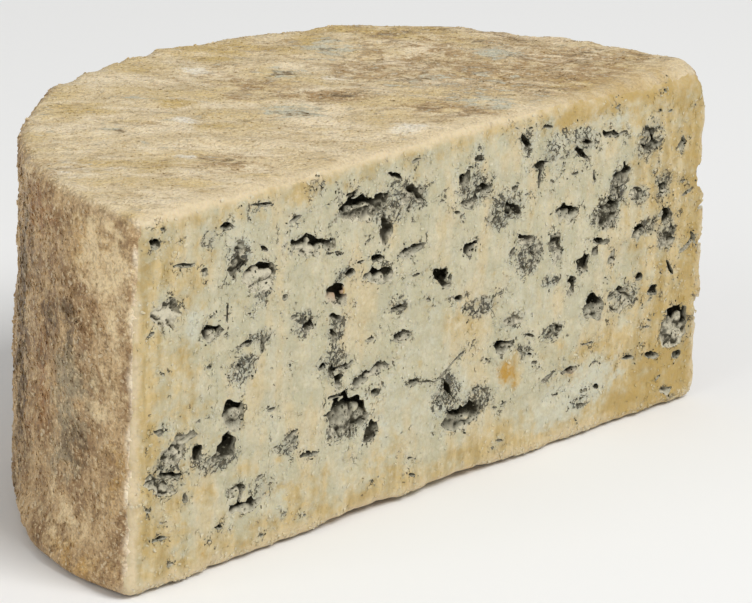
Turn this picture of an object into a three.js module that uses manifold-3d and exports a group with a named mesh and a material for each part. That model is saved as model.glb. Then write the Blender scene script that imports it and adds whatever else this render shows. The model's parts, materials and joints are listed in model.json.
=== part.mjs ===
// Half of a round blue cheese, cut straight through its axis and standing on its flat base.
// Millimetres. X runs along the cut, the cut face looks towards -Y and Z is up. The origin is
// under the middle of the piece, on the surface that it stands on.

import * as THREE from 'three';
import { mergeVertices } from 'three/addons/utils/BufferGeometryUtils.js';
import Module from 'manifold-3d';

const wheelDiameter = 200;
const wheelHeight = 91;

const wheelRadius = wheelDiameter / 2;
const topRim = 0.08 * wheelHeight;        // radius of the rounded upper rim
const baseRim = 0.045 * wheelHeight;      // radius of the tighter lower rim
const belly = 0.006 * wheelDiameter;      // swelling of the rind towards its foot
const skirt = 0.02 * wheelDiameter;       // sagged foot of the rind, left of the cut
const skirtHeight = 0.14 * wheelHeight;
const waviness = 0.004 * wheelDiameter;   // hand-made unevenness of rind and top

const turns = 112;                        // steps round the whole wheel
const rimSteps = 4;
const sideSteps = 9;

// The eyes that open in the cut face, where the blue mould grew:
// place along the cut, height, half width, half height, depth, tilt in degrees.
const eyes = [
  [-90, 66.5, 4.0, 3.3, 4, 0],
  [-75.5, 58.8, 3.2, 1.8, 5, 5],
  [-61, 70, 5.3, 2.8, 6, -12],
  [-44, 72.6, 8.2, 2.0, 5, -9],
  [-27.5, 78.2, 9.0, 2.9, 7, 2],
  [-18.2, 71, 2.7, 3.4, 5, 0],
  [-10, 77.3, 3.6, 3.0, 4, -20],
  [-34.8, 57.8, 4.3, 2.6, 5, -22],
  [-21, 60, 4.2, 2.2, 5, -5],
  [-84.5, 36, 3.6, 1.8, 5, 0],
  [-69, 37, 4.0, 3.4, 6, 0],
  [-71, 29.8, 2.9, 2.9, 6, 0],
  [-63.5, 12.7, 4.4, 2.0, 5, -10],
  [-30.3, 27.6, 7.6, 4.5, 9, -8],
  [-32, 40.2, 4.2, 1.1, 4, 0],
  [-21.5, 36, 6.4, 1.5, 4, 17],
  [-21.8, 21, 2.3, 2.9, 4, 0],
  [1.8, 54.6, 3.2, 2.2, 6, -35],
  [10.8, 60.8, 3.0, 2.2, 5, -8],
  [25.5, 67, 4.2, 1.5, 5, -36],
  [43, 53.3, 2.6, 3.2, 4, 0],
  [47, 61, 4.0, 2.2, 5, -18],
  [62.6, 58, 4.6, 3.0, 5, 0],
  [67, 67, 3.8, 2.5, 5, 0],
  [77.5, 75, 2.8, 3.2, 5, 0],
  [85, 53, 3.4, 1.7, 5, -12],
  [53.5, 47.7, 3.6, 1.8, 5, -20],
  [58, 33.3, 3.8, 3.2, 6, 0],
  [25.7, 31.2, 3.3, 1.7, 5, -12],
  [10, 16.5, 6.5, 2.8, 5, -5],
  [83, 15.3, 3.1, 1.3, 4, -27],
  [91.2, 20, 5.3, 5.8, 6, 0],
];

// Crumbled places on the edge of the cut, written the same way: two chips in the right end and
// two low arches where the foot of the cut stands clear of the surface.
const chips = [
  [wheelRadius + 1.5, 62, 4.4, 4.6, 4, 12],
  [wheelRadius + 1.5, 24, 3.0, 5.0, 3, 0],
  [-22, 0, 22, 1.4, 7, 0],
  [14, 0, 17, 1.6, 6, 0],
];

const wasm = await Module();
wasm.setup();

function toSolid(geometry) {
  const bare = geometry.clone();
  bare.deleteAttribute('normal');
  bare.deleteAttribute('uv');
  const merged = mergeVertices(bare, 1e-4);
  return new wasm.Manifold(new wasm.Mesh({
    numProp: 3,
    vertProperties: new Float32Array(merged.attributes.position.array),
    triVerts: new Uint32Array(merged.index.array),
  }));
}

function toGeometry(solid) {
  const { vertProperties, triVerts } = solid.getMesh();
  const geometry = new THREE.BufferGeometry();
  geometry.setAttribute('position', new THREE.BufferAttribute(vertProperties, 3));
  geometry.setIndex(new THREE.BufferAttribute(triVerts, 1));
  geometry.computeVertexNormals();
  return geometry;
}

// Moves every vertex of a geometry to where the given function puts it.
function reshape(geometry, move) {
  const position = geometry.attributes.position;
  const point = new THREE.Vector3();
  for (let i = 0; i < position.count; i += 1) {
    point.fromBufferAttribute(position, i);
    move(point);
    position.setXYZ(i, point.x, point.y, point.z);
  }
  return geometry;
}

// Half outline of the wheel from the middle of its base, round both rims, to the middle of its top.
function wheelProfile() {
  const points = [new THREE.Vector2(0, 0)];
  for (const share of [0.4, 0.75]) {
    points.push(new THREE.Vector2(share * wheelRadius, 0));
  }
  for (let i = 0; i <= rimSteps; i += 1) {
    const angle = -Math.PI / 2 + (i / rimSteps) * (Math.PI / 2);
    points.push(new THREE.Vector2(
      wheelRadius - baseRim + baseRim * Math.cos(angle),
      baseRim + baseRim * Math.sin(angle),
    ));
  }
  const sideHeight = wheelHeight - topRim - baseRim;
  for (let i = 1; i < sideSteps; i += 1) {
    points.push(new THREE.Vector2(wheelRadius, baseRim + (i / sideSteps) * sideHeight));
  }
  for (let i = 0; i <= rimSteps; i += 1) {
    const angle = (i / rimSteps) * (Math.PI / 2);
    points.push(new THREE.Vector2(
      wheelRadius - topRim + topRim * Math.cos(angle),
      wheelHeight - topRim + topRim * Math.sin(angle),
    ));
  }
  for (const share of [0.8, 0.6, 0.35]) {
    points.push(new THREE.Vector2(share * wheelRadius, wheelHeight));
  }
  points.push(new THREE.Vector2(0, wheelHeight));
  return points;
}

// Sags and roughens the perfect wheel as a soft cheese that matured on a shelf.
function settle(point) {
  const radius = Math.hypot(point.x, point.y);
  const angle = Math.atan2(point.y, point.x);
  const outer = (radius / wheelRadius) ** 4;
  const low = 1 - point.z / wheelHeight;
  const waves = 0.5 * Math.sin(3 * angle + 0.8)
    + 0.35 * Math.sin(8 * angle + point.z / 19)
    + 0.3 * Math.sin(5 * angle - point.z / 9);
  const foot = Math.max(0, 1 - point.z / skirtHeight);
  const left = Math.exp(-(((Math.abs(angle) - 2.85) / 0.3) ** 2));
  const growth = outer * (waviness * waves + belly * low + skirt * foot * left);
  const stretch = radius > 0 ? (radius + growth) / radius : 1;
  const height = (point.z / wheelHeight) ** 6;
  const hills = Math.sin(point.x / 17 + 1) * Math.cos(point.y / 21) + 0.4 * Math.sin(point.x / 7);
  point.set(point.x * stretch, point.y * stretch, point.z + 0.6 * waviness * height * hills);
}

function wholeWheel() {
  const geometry = new THREE.LatheGeometry(wheelProfile(), turns);
  geometry.rotateX(Math.PI / 2);
  return toSolid(reshape(geometry, settle));
}

// A lumpy hollow that runs back and up behind its upper lip.
function hollow([x, z, halfWidth, halfHeight, depth, tilt], index) {
  const geometry = new THREE.IcosahedronGeometry(1, halfWidth > 5 ? 4 : 2);
  reshape(geometry, (point) => {
    const lump = 1 + 0.14 * Math.sin(4.3 * point.x + 1.7 * index) * Math.cos(3.1 * point.z + index)
      + 0.08 * Math.sin(7 * point.x + 5 * point.z + 2.3 * index);
    point.multiplyScalar(lump);
    point.set(point.x * halfWidth, point.y * depth, point.z * halfHeight);
    point.z += 0.25 * point.y * Math.min(1, halfHeight / depth);
  });
  geometry.rotateY(-THREE.MathUtils.degToRad(tilt));
  geometry.translate(x, 0, z);
  return toSolid(geometry);
}

// Everything on the near side of the cut, which the knife took away.
function cutAwayHalf() {
  const block = new THREE.BoxGeometry(1.5 * wheelDiameter, wheelDiameter, 2 * wheelHeight);
  block.translate(0, -wheelDiameter / 2, wheelHeight / 2);
  return toSolid(block);
}

function cheeseHalf() {
  let solid = wholeWheel().subtract(cutAwayHalf());
  for (const [index, place] of [...eyes, ...chips].entries()) {
    solid = solid.subtract(hollow(place, index));
  }
  const geometry = toGeometry(solid);
  geometry.computeBoundingBox();
  const middle = geometry.boundingBox.getCenter(new THREE.Vector3());
  geometry.translate(-middle.x, -middle.y, -geometry.boundingBox.min.z);
  const paste = new THREE.MeshStandardMaterial({ color: 0xd9cda6, roughness: 0.6, metalness: 0 });
  const mesh = new THREE.Mesh(geometry, paste);
  mesh.name = 'blue_cheese_half';
  return mesh;
}

const cheese = new THREE.Group();
cheese.add(cheeseHalf());

export default cheese;
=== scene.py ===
# %% [markdown]
# # Half of a round blue cheese
# The cheese is one soft body: a squat wheel, cut straight through its middle. Three things make
# its look. The cut shows ivory paste, torn open by eyes where blue mould grew. The rind is tan and
# grainy. The knife left a smooth cream edge between them. Each gets its own cells below.

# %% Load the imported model
import itertools
import json
import math
import bpy
import numpy as np
import openvdb
from mathutils import Matrix, Vector

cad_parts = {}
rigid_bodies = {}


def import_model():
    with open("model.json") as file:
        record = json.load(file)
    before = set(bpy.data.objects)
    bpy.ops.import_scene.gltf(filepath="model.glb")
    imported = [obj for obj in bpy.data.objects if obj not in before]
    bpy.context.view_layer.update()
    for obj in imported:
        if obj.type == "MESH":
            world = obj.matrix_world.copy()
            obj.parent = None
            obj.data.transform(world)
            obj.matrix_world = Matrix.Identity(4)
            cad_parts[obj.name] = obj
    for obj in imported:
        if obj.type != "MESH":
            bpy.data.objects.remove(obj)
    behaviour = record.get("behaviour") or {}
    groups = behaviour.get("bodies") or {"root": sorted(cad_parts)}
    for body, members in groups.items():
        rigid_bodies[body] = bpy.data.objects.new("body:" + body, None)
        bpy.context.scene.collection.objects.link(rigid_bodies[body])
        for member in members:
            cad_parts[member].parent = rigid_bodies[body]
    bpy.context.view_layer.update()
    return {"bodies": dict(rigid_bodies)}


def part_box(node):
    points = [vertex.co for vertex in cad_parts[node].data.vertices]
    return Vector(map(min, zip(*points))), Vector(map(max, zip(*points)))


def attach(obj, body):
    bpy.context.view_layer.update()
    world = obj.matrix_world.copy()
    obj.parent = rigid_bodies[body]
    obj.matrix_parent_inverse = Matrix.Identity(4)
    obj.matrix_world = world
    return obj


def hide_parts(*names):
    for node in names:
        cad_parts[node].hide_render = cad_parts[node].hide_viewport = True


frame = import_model()
node = "blue_cheese_half"

# %% [markdown]
# ## One measure for everything
# All shapes are worked out in millimetres round the wheel's own axis: x runs along the cut, y runs
# from the cut into the cheese and z is up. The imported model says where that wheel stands, so its
# lowest corner and the wheel's radius give the shift from wheel to world.

# %% Driving sizes
# In millimetres. A rim is the radius of a rounded edge, the belly is how far the rind swells towards
# its foot, and the skirt is the sagged foot at the left end of the cut.
wheel_radius = 100.0
wheel_height = 91.0
rim_left = 2.4
rim_right = 7.5
foot_rim = 4.0
foot_rim_back = 9.0
belly = 1.2
skirt = 4.0
skirt_height = 12.7
waviness = 0.8
mm_per_m = 1000
low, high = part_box(node)
left_reach = mm_per_m * (high.x - low.x) / 2
cut_at = low.y


def settled_growth(angle, z):
    """How far the rind stands out past the perfect cylinder, after it sagged on the shelf."""
    waves = 0.5 * np.sin(3 * angle + 0.8) + 0.35 * np.sin(8 * angle + z / 19)
    waves = waves + 0.3 * np.sin(5 * angle - z / 9)
    foot = np.maximum(0, 1 - z / skirt_height)
    left = np.exp(-(((np.abs(angle) - 2.85) / 0.3) ** 2))
    return waviness * waves + belly * (1 - z / wheel_height) + skirt * foot * left


heights = np.linspace(foot_rim, wheel_height - rim_left, 60)
reach_left = wheel_radius + settled_growth(math.pi, heights).max()
axis_at = -left_reach / mm_per_m + reach_left / mm_per_m
print("wheel axis at x", round(axis_at, 4), "cut at y", round(cut_at, 4))


def to_world(points):
    """Wheel millimetres to world metres."""
    return np.asarray(points, float) / mm_per_m + np.array([axis_at, cut_at, 0.0])


# %% [markdown]
# ## Randomness that repeats
# Two kinds of chance shape a cheese. Smooth noise makes waves and lumps. Curd grains, the pieces
# that were scooped into the mould and pressed together, make angular cells whose joints open into
# eyes and cracks. Both are looked up from small seeded tables, so each run gives the same cheese.

# %% Noise and curd grains
hash_steps = (73856093, 19349663, 83492791)
table_size = 4096


def smooth_noise(x, y, z, size, seed):
    """Smooth random value from -1 to 1, with lumps about size millimetres across."""
    table = np.random.default_rng(seed).uniform(-1, 1, table_size).astype(np.float32)
    cells, fades = [], []
    for value in (x, y, z):
        scaled = np.asarray(value, np.float32) / size
        cell = np.floor(scaled)
        part = scaled - cell
        cells.append(cell.astype(np.int64))
        fades.append(part * part * (3 - 2 * part))
    total = 0.0
    for corner in itertools.product((0, 1), repeat=3):
        key, weight = 0, 1.0
        for cell, fade, step, prime in zip(cells, fades, corner, hash_steps):
            key = key ^ ((cell + step) * prime)
            weight = weight * (fade if step else 1 - fade)
        total = total + table[key & (table_size - 1)] * weight
    return total


def curd_joint(x, y, z, sizes, seed):
    """How much further the second nearest curd grain is than the nearest: 0 on a joint."""
    jitter = np.random.default_rng(seed).uniform(0.1, 0.9, (table_size, 3)).astype(np.float32)
    scaled = [np.asarray(v, np.float32) / s for v, s in zip((x, y, z), sizes)]
    cells = [np.floor(v).astype(np.int64) for v in scaled]
    nearest = np.full(np.shape(x), 1e6, np.float32)
    second = nearest.copy()
    for step in itertools.product((-1, 0, 1), repeat=3):
        key = 0
        for cell, move, prime in zip(cells, step, hash_steps):
            key = key ^ ((cell + move) * prime)
        key = key & (table_size - 1)
        far = 0.0
        for k in range(3):
            far = far + ((cells[k] + step[k] + jitter[key, k] - scaled[k]) * sizes[k]) ** 2
        second = np.minimum(second, np.maximum(nearest, far))
        nearest = np.minimum(nearest, far)
    return np.sqrt(second) - np.sqrt(nearest)


# %% [markdown]
# ## From a distance field to a mesh
# A cheese has no edges that a modeller could draw: it is lumps, rounded rims and holes. So the
# shape is written as a distance field, a number at each point of a grid that is negative inside.
# Blender's own volume library then wraps a mesh round the zero surface. Two meshes are made this
# way, a coarse one for the half wheel and a fine one for the eyes, and one is cut from the other.

# %% Grid and mesh helpers


def steps(start, end, step, fine_until=None, coarsest=None):
    """Places of the samples along one axis, with steps that widen past fine_until."""
    places = [start]
    while places[-1] < end:
        if fine_until is not None and places[-1] > fine_until:
            step = min(coarsest, 1.12 * step)
        places.append(places[-1] + step)
    return np.array(places, np.float32)


def spread(axes):
    """The three axes of a grid, shaped so that numpy fills the whole box from them."""
    return axes[0][:, None, None], axes[1][None, :, None], axes[2][None, None, :]


def wrap(field, axes, name):
    """A closed mesh object, in wheel millimetres, round the negative part of a field."""
    grid = openvdb.FloatGrid(float(field.max()))
    grid.copyFromArray(field.astype(np.float32))
    points, quads = grid.convertToQuads(isovalue=0.0)
    points = np.stack([np.interp(points[:, k], np.arange(len(axes[k])), axes[k]) for k in range(3)], 1)
    a, b, c = (points[quads[:, k]] for k in range(3))
    volume = (a * np.cross(b, c)).sum()
    if volume < 0:
        quads = quads[:, ::-1]
    mesh = bpy.data.meshes.new(name)
    mesh.from_pydata(points.tolist(), [], quads.tolist())
    mesh.update()
    made = bpy.data.objects.new(name, mesh)
    bpy.context.scene.collection.objects.link(made)
    print(name, len(points), "points", len(quads), "quads")
    return made


def round_join(a, b, radius):
    """Where two surfaces meet, the distance to their meeting with its edge rounded."""
    corner = np.hypot(np.maximum(a + radius, 0), np.maximum(b + radius, 0))
    return np.minimum(np.maximum(a, b), -radius) + corner


def bell(value):
    """1 at 0, falling smoothly to nothing past 2."""
    return np.exp(-value * value)


# %% [markdown]
# ## The half wheel
# The body is where four surfaces meet: the rind, the top, the base and the cut. The rim is crisp
# at the left of the photo and rounder at the right, and the knife edge is rounded along the top,
# where the soft paste was dragged over. Noise gives the rind its dents, and slow waves give the top
# its hills.

# %% Body field
body_step = 1.0
body_axes = (steps(-108, 108, body_step), steps(-4, 106, body_step, 10, 1.9),
             steps(-4, 97, body_step))
cut_rows = body_axes[1] < 3.0
wrinkle_turn = math.radians(-48)
rind_dents = 1.2
top_dents = 0.7
top_hills = 0.5
top_wrinkles = 0.35
groove_depth = 0.6
right_starts = 35.0
right_ends = 85.0
# Low arches where the foot of the cut stands clear of the surface: place, half width and height.
foot_arches = ((-22, 18, 1.4), (12, 12, 1.6))
foot_wear = 0.4
# Radius of the knife edge, and what the upper edge, its right end and the left end add to it.
knife_round = 1.2
knife_round_above = 2.2
knife_round_right = 3.5
knife_round_left = 1.4


def curd_relief(x, y, z):
    """Grooves where curd grains meet in the cut, deeper in its lower third."""
    x, y, z = np.broadcast_arrays(x, y, z)
    joint = curd_joint(x, 0 * y, z, (4.4, 4.4, 3.4), 17)
    crumbly = 0.35 + 0.65 * np.clip(smooth_noise(x, 0 * y, z, 14.0, 18) + 0.5 * (z < 30), 0, 1)
    return 0.55 * crumbly * np.exp(-joint / 0.7)


# Long grooves in the top, at the right of the back rim: x and y of both ends.
grooves = [(79, 34, 91, 34), (77, 28, 90, 26), (79, 18, 96, 8), (84, 19, 98, 13), (60, 52, 70, 48)]


def groove_amount(x, y):
    """1 in the middle of a groove, falling to 0 about a millimetre away."""
    most = 0.0
    for x0, y0, x1, y1 in grooves:
        run, rise = x1 - x0, y1 - y0
        share = np.clip(((x - x0) * run + (y - y0) * rise) / (run**2 + rise**2), 0, 1)
        wander = 0.8 * np.sin(9 * share + x0)
        away = np.hypot(x - x0 - share * run, y - y0 - share * rise + wander)
        most = np.maximum(most, bell(away / 0.9) * (1 - (2 * share - 1) ** 4))
    return most


def to_the_right(x):
    """0 over the left and middle of the cut, rising to 1 near its right end."""
    return np.clip((x - right_starts) / (right_ends - right_starts), 0, 1)


def body_field():
    """The half wheel's distance field: where rind, top, base and cut meet."""
    x, y, z = spread(body_axes)
    angle = np.arctan2(np.maximum(y, 0), x)
    radius = np.hypot(x, y)
    rough = 0.45 * smooth_noise(x, y, z, 7.0, 11) + 0.45 * smooth_noise(x, y, z, 2.8, 12)
    side = radius - wheel_radius - settled_growth(angle, z) - rind_dents * rough
    hills = np.sin(x / 17 + 1) * np.cos(y / 21) + 0.4 * np.sin(x / 7)
    along = x * math.cos(wrinkle_turn) + y * math.sin(wrinkle_turn)
    across = y * math.cos(wrinkle_turn) - x * math.sin(wrinkle_turn)
    wrinkles = smooth_noise(along / 2, across, 0 * z, 3.6, 16)
    top = z - wheel_height - top_hills * hills - top_dents * rough - top_wrinkles * wrinkles
    top = top + groove_depth * groove_amount(x, y)
    arches = sum(tall * bell((x - place) / half) for place, half, tall in foot_arches)
    ragged = 0.5 * smooth_noise(x, y, 0 * z, 2.6, 13)
    base = (arches + foot_wear + ragged) * bell(np.maximum(y, 0) / 4) * (np.abs(x) < 96) - z
    smear = 0.3 * smooth_noise(x, 0 * y, z / 4, 9.0, 14)
    cut = -y + smear + 0.4 * smooth_noise(x, y, z, 4.6, 15) + 0.2 * smooth_noise(x, y, z, 2.4, 19)
    cut[:, cut_rows] += curd_relief(x, y[:, cut_rows], z)
    turn = (1 + np.cos(angle)) / 2
    outer = round_join(side, top, rim_left + (rim_right - rim_left) * turn**2)
    back = bell((np.degrees(angle) - 138) / 14)
    outer = round_join(outer, base, foot_rim + (foot_rim_back - foot_rim) * back)
    shoulder = knife_round_above + knife_round_right * to_the_right(x)
    knife = knife_round + shoulder * np.clip((z - 78) / 10, 0, 1)
    knife = knife + knife_round_left * np.clip((-x - 92) / 6, 0, 1)
    return round_join(outer, cut, knife)


body = wrap(body_field(), body_axes, "half_wheel")

# %% [markdown]
# ## The eyes
# The curd was never pressed hard, so it closed badly: gaps stayed between the grains, and the blue
# mould lives in them. On the cut they show as caves that run back and up under a dark lip, as round
# pits, as thin slits, as shallow hollows and as crazed patches where only the joints opened. A few
# random shapes would do for any cheese; here each is placed where this one has it.
#
# Caves, pits, hollows and chips hold: place along the cut, height, half width, half height, depth,
# tilt in degrees and how much mould lines it. Slits hold the same without depth and lining. Crazed
# patches hold place, height, half width, half height and strength. The hundred smallest nicks lie by
# chance.

# %% Where the eyes are
caves = [
    (-75.5, 58.8, 3.2, 1.8, 5, 5, 0.9), (-61, 69.3, 6.0, 3.7, 6, -10, 0.25),
    (-44, 72.6, 8.4, 2.0, 5, -9, 0.8), (-27.5, 78.2, 9.2, 2.9, 7, 2, 0.9),
    (-10, 63.9, 3.6, 1.3, 4, 12, 0.8), (-21, 59.8, 4.2, 2.1, 5, -5, 0.8),
    (-34.8, 57.8, 4.3, 2.5, 5, -22, 0.1), (-84.5, 36, 3.8, 1.7, 5, 0, 0.8),
    (-69, 37.2, 3.9, 3.3, 6, 0, 0.9), (-63.5, 12.6, 4.5, 1.9, 5, -10, 0.8),
    (-30.3, 27.4, 7.7, 4.5, 9, -8, 1.0), (-23, 35.6, 6.0, 1.3, 4, 17, 0.9),
    (15.2, 74, 2.6, 1.4, 4, 0, 0.9), (10.3, 72, 2.4, 1.3, 3, 0, 0.9),
    (25.5, 66.8, 4.4, 1.5, 5, -36, 1.0), (47, 61.2, 4.1, 2.2, 5, -18, 0.8),
    (31, 58, 3.4, 1.2, 3, -20, 0.7), (66.9, 67, 3.8, 2.4, 5, 0, 1.0),
    (64.5, 59.5, 2.6, 1.4, 5, -25, 1.0), (78, 72.5, 3.0, 1.5, 4, 0, 1.0),
    (85, 53, 3.4, 1.7, 5, -12, 1.0), (58, 33.5, 3.8, 3.1, 6, 0, 1.0),
    (67, 35.8, 4.0, 1.2, 5, 0, 1.0), (25.7, 31.2, 3.3, 1.7, 6, -12, 1.0),
    (10, 16.4, 6.5, 2.8, 5, -5, 1.0), (91.4, 20, 5.2, 5.7, 7, 0, 0.25),
]
pits = [
    (-94.5, 84.2, 2.0, 1.1, 4, -10, 0.9), (-71.8, 83.6, 2.3, 0.9, 4, -10, 1.0),
    (-79.5, 74.5, 1.3, 0.9, 3, -40, 0.9), (-18.2, 70.8, 2.5, 3.3, 2.3, 0, 0.5),
    (-21, 64.2, 2.0, 1.1, 4, -5, 1.0), (-53, 61.7, 1.2, 1.0, 3, 0, 1.0),
    (-44.5, 52.8, 1.8, 1.4, 4, -35, 1.0), (-80, 30.8, 2.0, 1.6, 6, 0, 1.0),
    (-71, 29.9, 2.9, 2.7, 7, 0, 1.0), (-7.3, 30.5, 1.7, 1.2, 4, 0, 1.0),
    (1.8, 54.7, 3.1, 2.1, 6, -35, 1.0), (8, 78.4, 1.6, 2.0, 5, 0, 1.0),
    (12.2, 82.8, 1.9, 1.0, 5, -8, 1.0), (36.5, 75, 1.4, 1.1, 4, 0, 1.0),
    (90, 70.8, 1.7, 1.8, 4, 0, 1.0), (76.2, 38.1, 1.9, 1.2, 4, -5, 1.0),
    (82.2, 33, 2.3, 1.3, 3, -10, 1.0), (49, 43.2, 1.6, 1.0, 4, 0, 1.0),
    (74.5, 50.8, 2.2, 2.0, 4, 30, 1.0), (60.3, 51.3, 2.6, 0.9, 4, -15, 1.0),
    (91.8, 25.6, 2.6, 1.3, 5, -10, 1.0), (-12.3, 43.2, 2.5, 1.2, 4, -5, 1.0),
    (-33, 40.2, 3.6, 0.9, 4, 5, 1.0), (-39, 41.8, 1.1, 1.3, 3, 0, 1.0),
    (-33.5, 37, 1.0, 1.7, 3, 0, 1.0), (-20.8, 31.2, 1.4, 1.0, 3, 0, 1.0),
    (-21.8, 20.9, 2.2, 2.7, 3, 0, 0.9), (8, 47.6, 1.8, 0.9, 3, -25, 1.0),
    (61.3, 11.6, 1.4, 0.8, 2.5, -15, 1.0), (89.5, 4.2, 2.3, 1.1, 3, -15, 0.6),
    (93.5, 12.5, 1.6, 1.1, 3, 0, 0.7), (-48.7, 27, 1.7, 1.4, 3, 0, 1.0),
    (56.3, 68.3, 0.6, 1.3, 2, 0, 1.0), (26.8, 71.8, 1.0, 0.8, 3, 0, 1.0),
    (11.2, 60.6, 2.7, 2.0, 5, -10, 1.0), (54, 46.8, 3.0, 2.0, 5, 40, 1.0),
    (50.3, 42.3, 1.2, 1.5, 4, 0, 1.0), (58.3, 48.9, 1.5, 0.9, 4, 40, 1.0),
    (-7.2, 64.5, 1.8, 0.9, 4, 30, 1.0), (-30.9, 62.8, 2.2, 1.0, 4, -10, 1.0),
    (86.3, 52, 1.9, 1.6, 5, 0, 1.0), (-28, 76.8, 6.5, 1.8, 1.8, 2, 0.4),
]
hollows = [
    (-90.5, 66.8, 4.0, 3.4, 1.8, 0, 0.1), (-88.3, 33, 3.2, 2.4, 1.6, 0, 0.7),
    (-90.5, 24.5, 3.4, 2.0, 1.4, 0, 0.6), (-94.5, 27.5, 2.0, 1.8, 1.4, 0, 0.6),
    (-66.8, 17.8, 2.3, 2.3, 1.8, -30, 0.8), (-34.5, 82.6, 1.3, 1.7, 1.6, 0, 0.8),
    (-10, 77.3, 3.6, 3.0, 2.2, -20, 0.5), (77.3, 76.2, 2.3, 1.7, 1.8, 0, 1.0),
    (43, 53.4, 2.5, 3.3, 1.8, 0, 0.9), (65, 45.6, 1.5, 2.0, 1.5, 0, 0.9),
    (49.4, 40.6, 1.6, 1.5, 1.5, 0, 0.9), (69.5, 32.5, 3.3, 2.4, 1.4, 0, 0.3),
    (-68.8, 73.5, 2.6, 2.4, 1.6, 0, 0.9), (62, 57.8, 4.2, 2.8, 2.0, 0, 0.8),
    (86, 45.8, 2.8, 2.4, 1.6, 0, 0.7), (73.5, 60.3, 2.0, 1.8, 1.4, 0, 0.7),
    (43.5, 31.2, 3.0, 1.3, 1.6, 0, 0.9), (28, 37.5, 2.9, 1.1, 1.3, -5, 0.6),
]
slits = [
    (-16, 84, 3.1, 0.6, -18), (-92.5, 39.2, 2.4, 0.6, -5), (-88.3, 27.4, 3.4, 0.7, -12),
    (-91.5, 12.6, 2.2, 0.6, 5), (-65, 53.6, 2.7, 0.6, 5), (-34, 33.3, 3.3, 0.6, 5),
    (-43.3, 20.8, 2.8, 0.7, -5), (-56.2, 35.3, 1.4, 0.6, 5), (-72.5, 9.8, 1.1, 0.5, -20),
    (-59.5, 19, 2.0, 0.5, 20), (38.2, 85.5, 1.9, 0.5, -15), (30.8, 82.8, 2.6, 0.7, -48),
    (51.5, 75.5, 3.4, 0.8, -35), (53.5, 78, 2.5, 0.6, -15), (62.5, 79, 3.0, 0.9, -12),
    (66.8, 78.2, 1.4, 0.5, 0), (26.8, 55.2, 2.0, 0.6, 75), (36.4, 72.5, 2.3, 0.5, 85),
    (36.5, 75.8, 2.8, 0.6, 0), (83, 15.4, 3.1, 1.1, -28), (73, 16.8, 2.7, 0.6, -12),
    (42.5, 19.4, 2.2, 0.5, 10), (50.5, 19, 2.8, 0.9, -5), (10, 17.6, 7.0, 0.7, -4),
    (58, 24.4, 2.8, 0.45, 2), (36.5, 24.6, 1.3, 0.45, -8), (-36, 49, 1.8, 0.6, -10),
    (-35.5, 53, 2.0, 0.8, -20), (-9, 86.6, 1.8, 0.45, 8), (-60, 86.3, 4.0, 0.45, -10),
    (-50, 80.3, 2.3, 0.6, 20), (-85.5, 77.5, 3.4, 0.5, -12), (-71.3, 62.8, 2.6, 0.45, 85),
    (-23, 44.7, 1.5, 0.5, 10), (88.5, 37.5, 3.3, 0.5, -55), (95, 43, 3.6, 0.7, 35),
    (97, 44, 2.8, 0.6, -60), (93, 57.3, 2.4, 0.5, 25), (6, 31, 6.4, 0.5, 24),
    (5.6, 24.5, 3.4, 0.7, -55), (-13.5, 50.8, 2.3, 0.8, 0), (83.5, 59.8, 1.8, 0.8, 70),
    (-31, 82.2, 2.0, 0.5, -5), (-77, 50.8, 1.1, 0.6, -15), (-60, 51.7, 1.1, 0.9, -60),
    (-84.2, 20.6, 1.4, 0.8, -60), (-80, 38.5, 1.0, 0.4, 0), (81, 25.2, 1.2, 0.5, -15),
    (15.7, 22.5, 1.2, 0.5, 0), (-4.5, 29.6, 3.4, 0.4, -14), (-8, 57.5, 1.2, 0.6, 0),
]
crazed = [
    (-66, 48, 5.5, 4.5, 1.0), (-60, 54, 5, 3, 0.6), (-77, 82, 4, 3, 0.5),
    (-68, 76, 4, 4.5, 1.0), (-17, 77, 9, 6, 1.0), (-8, 77, 4, 4, 0.9),
    (-46, 54, 5, 4, 0.6), (-35, 50, 4, 4, 0.8), (-36, 42, 6, 5, 0.8),
    (-74, 27, 9, 3.5, 0.9), (-90, 28, 6, 8, 0.7), (-50, 25, 5, 3, 0.7),
    (-58, 16, 4, 4, 0.5), (-30, 24, 8, 4, 0.8), (5, 24, 6, 7, 1.0),
    (16, 20, 8, 4, 0.8), (12, 75, 8, 5, 0.8), (23, 67, 8, 6, 1.0),
    (33, 53, 6, 6, 0.9), (28, 37.5, 4.5, 2.5, 0.8), (42, 44.5, 4, 2, 0.8),
    (43, 31, 5, 3, 0.8), (16, 43.5, 7, 3.5, 1.0), (33, 28.5, 3, 3, 0.8),
    (52, 79, 8, 4, 0.7), (40, 79, 4, 4, 0.7), (31, 83, 4, 4, 0.7),
    (66, 64, 5, 6, 1.0), (62, 58, 6, 5, 1.0), (75, 60, 4, 4, 0.7),
    (79, 51, 6, 3, 0.8), (86, 47, 5, 5, 1.0), (84, 61, 4, 5, 0.7),
    (71, 34, 6, 4, 0.7), (92, 20, 7, 7, 0.8), (78, 74, 6, 6, 0.8),
    (-14, 51, 4, 2, 0.8), (-43, 87, 4, 3, 0.5), (55, 10, 6, 2.5, 0.5),
    (46, 82, 5, 2.5, 0.5), (-33, 63, 4, 2.5, 0.7), (-60, 65, 4, 2, 0.6),
]
chips = [(102.2, 60, 4.6, 6.4, 5, 0, 0.0), (101.8, 52.6, 3.0, 1.6, 4, 0, 0.0),
         (102.6, 42.3, 3.0, 1.2, 4, 10, 0.0), (103.0, 24, 4.2, 4.6, 4, 0, 0.0)]
nick_count = 100
nick_rng = np.random.default_rng(26)
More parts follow.
